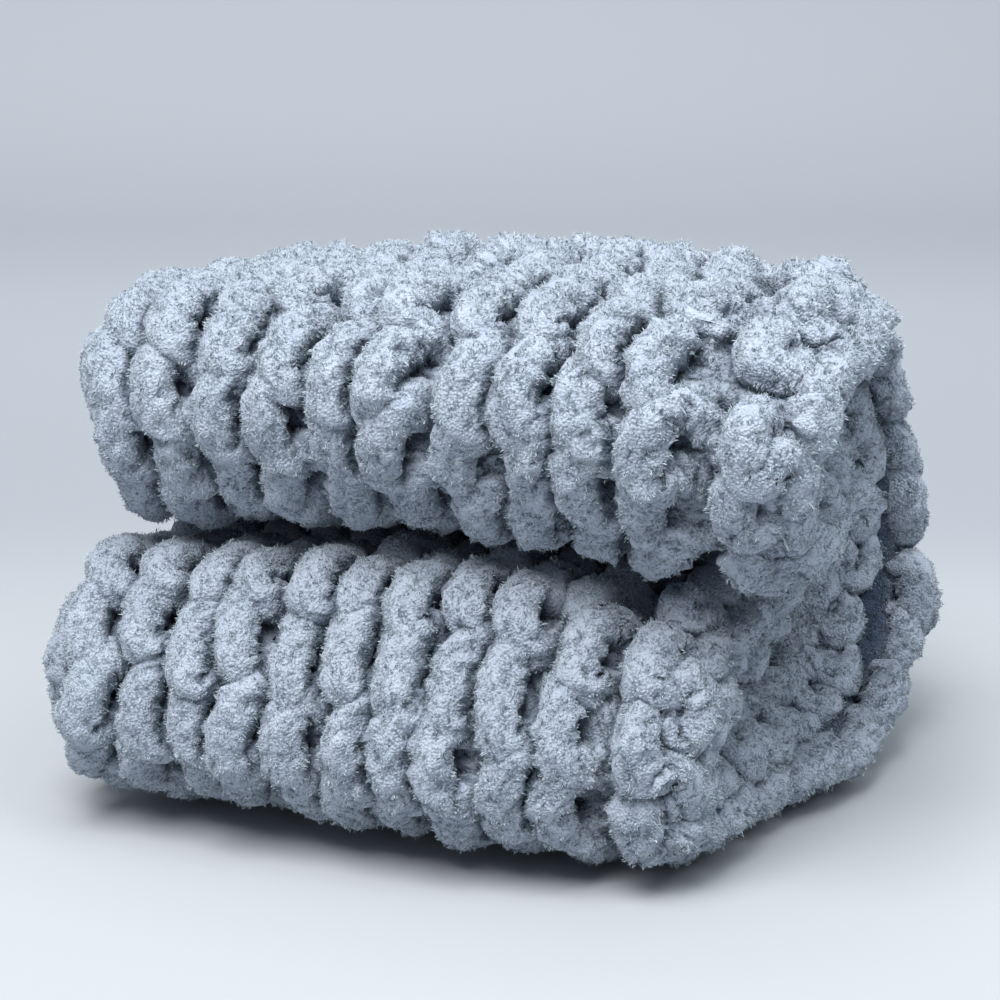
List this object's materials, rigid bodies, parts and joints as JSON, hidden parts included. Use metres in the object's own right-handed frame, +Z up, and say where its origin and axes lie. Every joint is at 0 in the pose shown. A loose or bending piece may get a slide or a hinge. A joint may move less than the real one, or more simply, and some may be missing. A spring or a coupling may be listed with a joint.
{
  "type": "folded chunky knit blanket",
  "caption": "Chunky chenille knit throw blanket, folded into a soft stack with rounded folds at the front and back.",
  "frame": {"origin": "on the surface the stack lies on, under the middle of its box", "axes": "+X along the stack, towards its open end with the free edges; +Y from the two front folds towards the large back fold; +Z up"},
  "size_m": [0.4383, 0.3759, 0.324],
  "materials": {
    "chenille_yarn": "thick matt chenille yarn with a velvety pile, pale blue grey"
  },
  "bodies": {
    "root": {"blanket": "chenille_yarn"}
  },
  "joints": []
}
